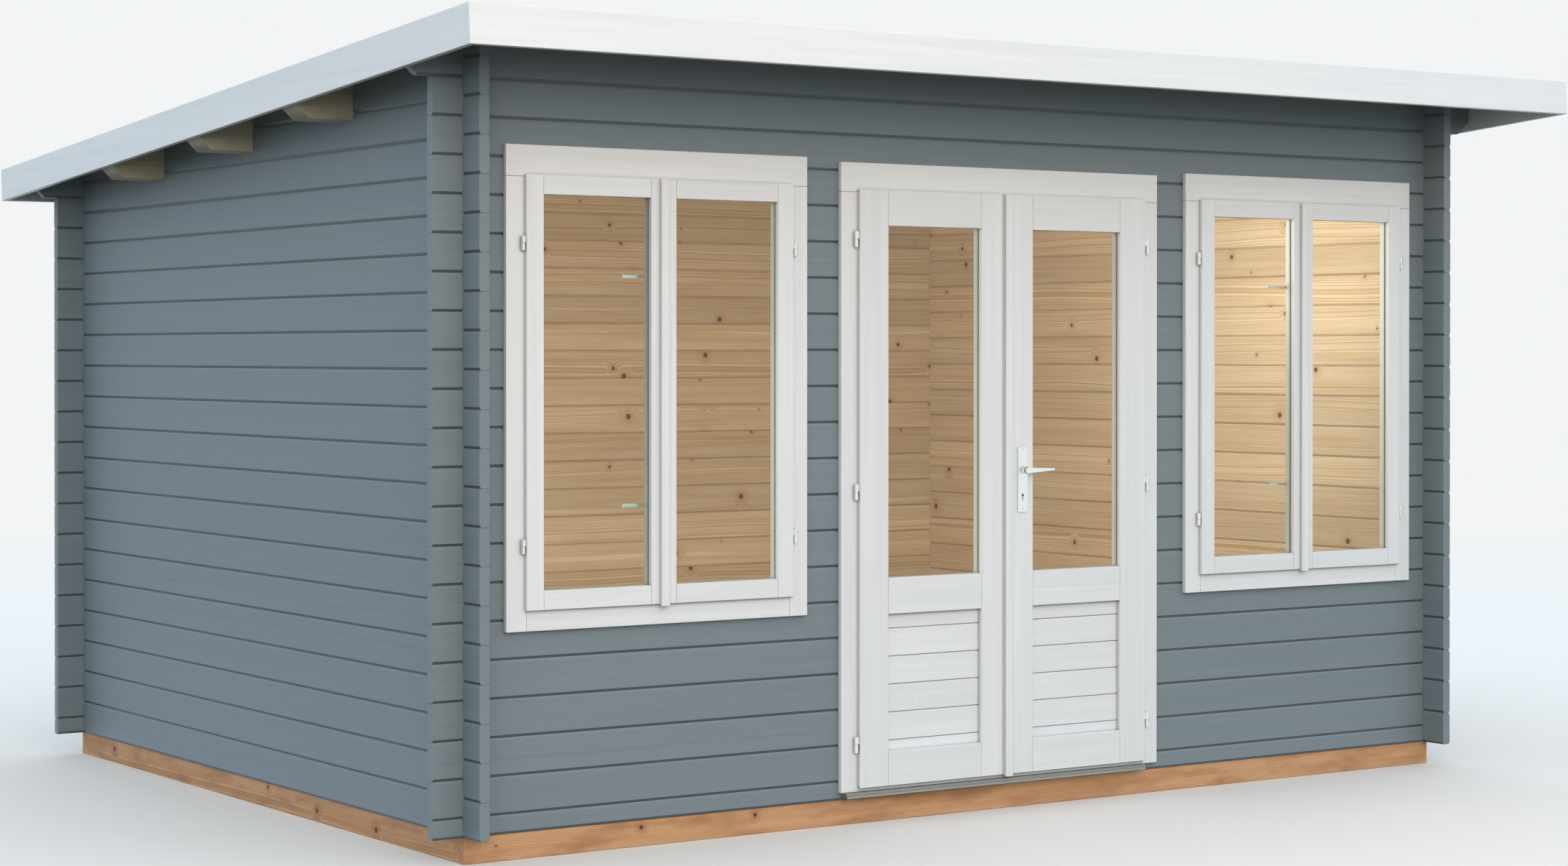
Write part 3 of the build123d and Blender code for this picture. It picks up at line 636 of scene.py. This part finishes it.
def planks(node, name, materials, low, high, axis, edges, look, choose=onlyOne, place=None, cuts=()):
    boards = []
    for start, end in zip(edges, edges[1:]):
        near, far = Vector(low), Vector(high)
        near[axis], far[axis] = start + look["joint"] / 2, end - look["joint"] / 2
        boards.append(addBlock((near + far) / 2, far - near))
    piece = joinBlocks(boards, name)
    bpy.ops.object.mode_set(mode="EDIT")
    divideFaces(cuts)
    bpy.ops.object.mode_set(mode="OBJECT")
    applyModifier(piece, "BEVEL", {"width": look["bevel"], "segments": 1, "angle_limit": math.radians(sharpAngle)})
    for material in materials:
        piece.data.materials.append(material)
    writeBoards(piece, choose)
    smoothFaces(piece)
    if place:
        piece.matrix_world = place
    return finishPiece(piece, bodyOf(node), slotOf(node), node)


# paint ends in the crossings, so the long faces are divided there
acrossCuts = [((end * wallMiddle["x"], 0, 0), (1, 0, 0)) for end in (-1, 1)]
alongCuts = [((0, wallMiddle[end], 0), (0, 1, 0)) for end in ("front", "back")]
logEdges = {"softness": 1.0, "steps": 1, "angle": 62}
for side, cuts in (("front", acrossCuts), ("back", acrossCuts), ("left", alongCuts), ("right", alongCuts)):
    for course in "ab":
        node, name = f"{side}_wall_logs_{course}", f"{side}WallLogs.{course}"
        softCopy(node, name, [slateWood, spruce], bareInRoom, cuts=cuts, **logEdges)
print("logs dressed")

softCopy("foundation_beams", "foundationBeams", [pine], softness=2.5)
softCopy("purlins", "purlins", [roofSpruce, spruce], bareInRoom, softness=2, cuts=acrossCuts)

floorPlanks = {"count": 28, "joint": 0.4 * mm, "bevel": 1.5 * mm}
low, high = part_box("floor_boards")
edges = [low.y + (high.y - low.y) * i / floorPlanks["count"] for i in range(floorPlanks["count"] + 1)]
planks("floor_boards", "floorBoards", [spruce], low, high, 1, edges, floorPlanks)
print("floor laid")


# the roof in its own frame: X across, Y down the slope from the front, Z square to it


def slopeOf(node):
    corners = sorted({(round(v.co.y, 5), round(v.co.z, 5)) for v in frame["nodes"][node].data.vertices})
    front = min(corners[:2], key=lambda corner: corner[1])
    back = min(corners[-2:], key=lambda corner: corner[1])
    run, fall = back[0] - front[0], back[1] - front[1]
    thickness = math.dist(corners[0], corners[1])
    tilt = math.atan2(fall, run)
    place = Matrix.Translation((0, *front)) @ Matrix.Rotation(tilt, 4, "X")
    return place, math.hypot(run, fall), thickness


roofPlanks = {"count": 48, "joint": 0.4 * mm, "bevel": 3 * mm}


def layRoofBoards():
    place, length, thickness = slopeOf("roof_boards")
    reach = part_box("roof_boards")[1].x
    edges = [reach * (2 * i / roofPlanks["count"] - 1) for i in range(roofPlanks["count"] + 1)]
    level = place.inverted()
    cuts = []
    for end in ("front", "back"):
        down = (level @ Vector((0, wallMiddle[end], place.translation.z))).y
        cuts.append(((0, down, 0), (0, 1, 0)))
    planks(
        "roof_boards",
        "roofBoards",
        [roofSpruce, spruce],
        (-reach, 0, 0),
        (reach, length, thickness),
        0,
        edges,
        roofPlanks,
        choose=lambda centre, normal: int(insideRoom(place @ centre)),
        place=place,
        cuts=cuts,
    )


layRoofBoards()

feltStrips = {"width": 0.92, "lap": 0.08, "tuck": 0.03, "softness": 0.8 * mm}


def layFelt():
    place, length, thickness = slopeOf("roof_felt")
    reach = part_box("roof_felt")[1].x
    strips = []
    start = 0
    while start < length:
        end = min(start + feltStrips["width"], length)
        strips.append(addBlock((0, (start + end) / 2, thickness / 2), (2 * reach, end - start, thickness)))
        if end < length:
            # the upper strip's edge, which lies over the lower one
            run = feltStrips["tuck"] + feltStrips["lap"]
            rise = math.atan2(thickness, run)
            middle = end - feltStrips["tuck"] + run / 2
            strips.append(addBlock((0, middle, thickness), (2 * reach, run, thickness), (rise, 0, 0)))
        start = end
    piece = joinBlocks(strips, "roofFelt")
    applyModifier(piece, "BEVEL", {"width": feltStrips["softness"], "segments": 2})
    smoothFaces(piece)
    piece.data.materials.append(felt)
    piece.matrix_world = place
    finishPiece(piece, bodyOf("roof_felt"), slotOf("roof_felt"), "roof_felt")


layFelt()


def camel(node):
    words = node.split("_")
    return words[0] + "".join(word.title() for word in words[1:])


for node in ("front_fascia", "back_fascia", "left_bargeboard", "right_bargeboard"):
    softCopy(node, camel(node), [whiteWood], softness=2)
print("roof dressed")


# joinery: painted outside, bare inside

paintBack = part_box("left_window_frame")[0].y + 10 * mm  # paint ends a little inside the front of the frames
joinery = ["door_casing", "door_frame", "door_cover_strip"]
for side in ("left", "right"):
    joinery += [f"{side}_window_{part}" for part in ("casing", "frame", "sashes", "cover_strip")]
    joinery.append(f"{side}_leaf_frame")


def paintedFront(centre, normal):
    return int(centre.y > paintBack)


def bareBack(centre, normal):
    return int(normal.y > 0.5)


for node in joinery:
    softCopy(node, camel(node), [whiteWood, spruce], paintedFront, softness=1.6)

panelPlanks = {"pitch": 89.4 * mm, "firstJoint": 260 * mm, "joint": 1.2 * mm, "bevel": 2.2 * mm}
for node in ("left_leaf_panel", "right_leaf_panel"):
    low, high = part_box(node)
    edges = [low.z]
    joint = panelPlanks["firstJoint"]
    while joint < high.z:
        edges.append(joint)
        joint += panelPlanks["pitch"]
    edges.append(high.z)
    planks(node, camel(node), [whiteWood, spruce], low, high, 2, edges, panelPlanks, bareBack)
print("joinery dressed")


# white rubber seals in the running gaps of the door

doorSeal = {
    "meetingGap": 6.5 * mm,  # between the two leaves
    "lipGap": 5 * mm,  # between a leaf and the casing behind it
    "free": 2.4 * mm,  # what a seal leaves of its gap
    "lipWidth": 8 * mm,
    "lipInset": 1 * mm,  # from the side of a leaf
    "depth": 9 * mm,
    "setBack": 1.5 * mm,
    "softness": 0.6 * mm,
}


def addSeal(name, body, low, high):
    low, high = Vector(low), Vector(high)
    seal = addBlock((low + high) / 2, high - low)
    rename(seal, name)
    applyPlace(seal)
    applyModifier(seal, "BEVEL", {"width": doorSeal["softness"], "segments": 2})
    seal.data.materials.append(rubber)
    finishPiece(seal, body, "painted_joinery")


def addSeals():
    leftLow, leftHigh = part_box("left_leaf_frame")
    rightLow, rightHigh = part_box("right_leaf_frame")
    room = doorSeal["meetingGap"] - doorSeal["free"]
    front = rightLow.y + doorSeal["setBack"]
    low = (rightLow.x - room, front, rightLow.z)
    high = (rightLow.x, front + doorSeal["depth"], rightHigh.z)
    addSeal("meetingSeal", "right_leaf", low, high)
    width = doorSeal["lipWidth"]
    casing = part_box("door_casing")[0].y
    front = casing - doorSeal["lipGap"] + doorSeal["free"]
    left = leftLow.x + doorSeal["lipInset"]
    right = rightHigh.x - doorSeal["lipInset"] - width
    for name, x in (("leftSeal", left), ("rightSeal", right)):
        addSeal(name, "cabin", (x, front, rightLow.z + width), (x + width, casing, rightHigh.z - width))


addSeals()


# hinges, window fittings and handle

for side in ("left", "right"):
    softCopy(f"{side}_window_fittings", f"{side}WindowFittings", [nickel], softness=0.3)
    softCopy(f"{side}_leaf_knuckles", f"{side}LeafKnuckles", [nickel], softness=0.3)
softCopy("door_hinge_pins", "doorHingePins", [nickel], softness=0.3)
softCopy("door_handle_plates", "doorHandlePlates", [nickel], softness=1.0, steps=3)
softCopy("door_lever", "doorLever", [nickel], softness=1.8, steps=3)

handle = {
    "thickness": 4 * mm,
    "screwRadius": 3.2 * mm,
    "screwDepth": 1.4 * mm,
    "screwInset": 10 * mm,  # from the ends of a plate
    "screwSoftness": 0.25 * mm,
    "slotLength": 2.4,  # in radii of the screw, so that the slot runs out of the head
    "slotWidth": 0.9 * mm,
    "slotDepth": 0.7 * mm,
    "keyHeight": 55.5 * mm,  # above the lower end of a plate
    # size of the dark keyhole shape, which is painted shade of the keyhole hollow
    "keyholeRadius": 4.0 * mm,
    "keyholeSlot": (2.8 * mm, 15.8 * mm),
    "keyholeDepth": 2.2 * mm,
}


def addScrew(x, face, z, outward):
    radius, depth = handle["screwRadius"], handle["screwDepth"]
    screw = addDisc(radius, depth, (x, face, z))
    top = face + outward * depth / 2
    long, short = handle["slotLength"] * radius, handle["slotWidth"]
    for width, height in ((long, short), (short, long)):
        cutter = addBlock((x, top, z), (width, 2 * handle["slotDepth"], height))
        useSolid(screw, cutter, "DIFFERENCE")
    bevel = {"width": handle["screwSoftness"], "segments": 2, "limit_method": "ANGLE", "angle_limit": 1}
    applyModifier(screw, "BEVEL", bevel)
    return screw


# a dark keyhole shape set in each plate: painted shade of the keyhole hollow
def addKeyholeShade(x, face, z, outward):
    depth = handle["keyholeDepth"]
    middle = face + outward * depth / 2
    width, height = handle["keyholeSlot"]
    keyholeShape = addDisc(handle["keyholeRadius"], depth, (x, middle, z))
    web = addBlock((x, middle, z - height / 2), (width, depth, height))
    useSolid(keyholeShape, web, "UNION")
    return keyholeShape


def finishLockPart(piece, name, material):
    rename(piece, name)
    piece.data.materials.clear()
    piece.data.materials.append(material)
    finishPiece(piece, "right_leaf", "satin_steel")


def addLockParts():
    low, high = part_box("door_handle_plates")
    x = (low.x + high.x) / 2
    for side, face, outward in (("Outer", low.y, -1), ("Inner", high.y, 1)):
        for end, z in (("Top", high.z - handle["screwInset"]), ("Bottom", low.z + handle["screwInset"])):
            finishLockPart(addScrew(x, face, z, outward), f"plateScrew{side}{end}", nickel)
        keyholeShape = addKeyholeShade(x, face - outward * handle["thickness"], low.z + handle["keyHeight"], outward)
        finishLockPart(keyholeShape, f"keyholeShade{side}", keyholeDark)


addLockParts()
print("handle and hinges dressed")


# threshold: an aluminium strip with upright ribs on its front

threshold = {
    "pitch": 5.5 * mm,
    "width": 3 * mm,
    "proud": 1.4 * mm,
    "lipHeight": 6 * mm,
    "lip": 3 * mm,
    "softness": 0.5 * mm,
}


def addThreshold():
    softCopy("door_threshold", "doorThreshold", [aluminium], softness=0.5)
    low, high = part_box("door_threshold")
    pitch = threshold["pitch"]
    foot = low.z + threshold["lipHeight"]
    ribs = addBlock(
        (low.x + pitch / 2, low.y + threshold["lip"], (foot + high.z) / 2),
        (threshold["width"], 2 * threshold["proud"], high.z - foot),
    )
    rename(ribs, "thresholdRibs")
    applyPlace(ribs)
    applyModifier(ribs, "BEVEL", {"width": threshold["softness"], "segments": 1})
    row = {"use_constant_offset": True, "use_relative_offset": False, "constant_offset_displace": (pitch, 0, 0)}
    applyModifier(ribs, "ARRAY", {"count": int((high.x - low.x) / pitch), **row})
    ribs.data.materials.append(aluminium)
    finishPiece(ribs, "cabin", "ribbed_aluminium")


addThreshold()

for side in ("left", "right"):
    for part in ("window", "leaf"):
        panes = frame["nodes"][f"{side}_{part}_glass"]
        panes.data.materials.clear()
        panes.data.materials.append(glass)
        for polygon in panes.data.polygons:
            polygon.material_index = 0
print("metal and glass finished")


# studio: pale floor, soft light

studio = {
    "floorSize": 60,
    "floorColour": "#E6E1DB",  # as the camera sees it
    "floorBounce": "#4C4839",  # as it lights the cabin, so that the eaves stay in shade
    "floorRoughness": 0.9,
    "floorFade": (5, 16),  # from here to there it runs into the backdrop
    "backdrop": "#F2F4F5",
    "skyColour": "#E4F2FF",
    "skyLight": 1.38,
    "skyLeft": 0.88,  # share of that light from the left side
    "skyRight": 1.06,
    "mirrored": 0.8,  # share of it that shows in glass and metal
}

# each lamp: where, towards what, how wide, how strong in watts, its colour
lamps = {
    "keyLight": ((-3.5, -12, 5.5), (0, -1.4, 1.2), 6.5, 470, "#FFDEB7"),
    "fillLight": ((-9, -10, 3.5), (0, -1.4, 1.2), 4, 150, "#FFF0DC"),
    "roomLight0": ((-1.75, -0.2, 1.3), (1.5, 0.4, 0.6), 1.0, 30, "#FFFAF2"),
    "roomLight1": ((0.9, -0.95, 1.8), (1.95, -0.45, 2.0), 0.5, 11, "#FFFAF2"),
}


def addLamp(name, place, aim, size, power, colour):
    lamp = bpy.data.lights.new(name, "AREA")
    lamp.shape = "RECTANGLE"
    lamp.size = lamp.size_y = size
    lamp.energy = power
    lamp.color = hexToLinear(colour)[:3]
    holder = bpy.data.objects.new(name, lamp)
    holder.location = place
    holder.rotation_euler = (Vector(aim) - Vector(place)).to_track_quat("-Z", "Y").to_euler()
    holder.visible_camera = False
    holder.visible_glossy = False
    bpy.context.scene.collection.objects.link(holder)


def addFloor():
    bpy.ops.object.select_all(action="DESELECT")
    bpy.ops.mesh.primitive_plane_add(size=studio["floorSize"], location=(0, 0, 0))
    floor = bpy.context.object
    floor.name = "studioFloor"
    material, tree, shader = startMaterial("studioFloor")
    ray = addNode(tree, "ShaderNodeLightPath")
    seen, lit = hexToLinear(studio["floorColour"]), hexToLinear(studio["floorBounce"])
    colour = {"data_type": "RGBA", 0: ray.outputs["Is Camera Ray"], 6: lit, 7: seen}
    tree.links.new(addNode(tree, "ShaderNodeMix", colour).outputs[2], shader.inputs["Base Color"])
    shader.inputs["Roughness"].default_value = studio["floorRoughness"]
    # mirrored in the glass, the floor is as bright as the sky, so that no horizon shows
    shine = studio["skyLight"] * studio["mirrored"]
    glow = addNode(tree, "ShaderNodeEmission", {"Color": hexToLinear(studio["skyColour"]), "Strength": shine})
    near = addNode(tree, "ShaderNodeMixShader", {0: ray.outputs["Is Glossy Ray"], 1: shader, 2: glow})
    place = addNode(tree, "ShaderNodeTexCoord").outputs["Object"]
    away = addNode(tree, "ShaderNodeVectorMath", {"operation": "LENGTH", 0: place}).outputs["Value"]
    start, end = studio["floorFade"]
    fade = {"interpolation_type": "SMOOTHSTEP", "Value": away, "From Min": start, "From Max": end}
    fade = addNode(tree, "ShaderNodeMapRange", fade)
    fade = addNode(tree, "ShaderNodeMath", {"operation": "MULTIPLY", 0: fade, 1: ray.outputs["Is Camera Ray"]})
    far = addNode(tree, "ShaderNodeEmission", {"Color": hexToLinear(studio["backdrop"]), "Strength": 1})
    surface = addNode(tree, "ShaderNodeMixShader", {0: fade, 1: near, 2: far})
    tree.links.new(surface.outputs[0], tree.nodes["Material Output"].inputs["Surface"])
    floor.data.materials.append(material)


def addSky():
    world = bpy.data.worlds.new("studioSky")
    world.use_nodes = True
    sky = world.node_tree
    light = sky.nodes["Background"]
    light.inputs["Color"].default_value = hexToLinear(studio["skyColour"])
    direction = addNode(sky, "ShaderNodeTexCoord").outputs["Generated"]
    side = addNode(sky, "ShaderNodeSeparateXYZ", {0: direction}).outputs["X"]
    left, right = (studio["skyLight"] * studio[way] for way in ("skyLeft", "skyRight"))
    strength = {"Value": side, "From Min": -1, "From Max": 1, "To Min": left, "To Max": right}
    strength = addNode(sky, "ShaderNodeMapRange", strength)
    ray = addNode(sky, "ShaderNodeLightPath")
    dim = {"Value": ray.outputs["Is Glossy Ray"], "To Min": 1, "To Max": studio["mirrored"]}
    dim = addNode(sky, "ShaderNodeMapRange", dim)
    strength = addNode(sky, "ShaderNodeMath", {"operation": "MULTIPLY", 0: strength, 1: dim})
    sky.links.new(strength.outputs[0], light.inputs["Strength"])
    backdrop = {"Color": hexToLinear(studio["backdrop"]), "Strength": 1}
    backdrop = addNode(sky, "ShaderNodeBackground", backdrop)
    surface = addNode(sky, "ShaderNodeMixShader", {0: ray.outputs["Is Camera Ray"], 1: light, 2: backdrop})
    sky.links.new(surface.outputs[0], sky.nodes["World Output"].inputs["Surface"])
    bpy.context.scene.world = world


addFloor()
addSky()
for name, settings in lamps.items():
    addLamp(name, *settings)
bpy.context.scene.view_settings.view_transform = "Standard"
print("studio lit")
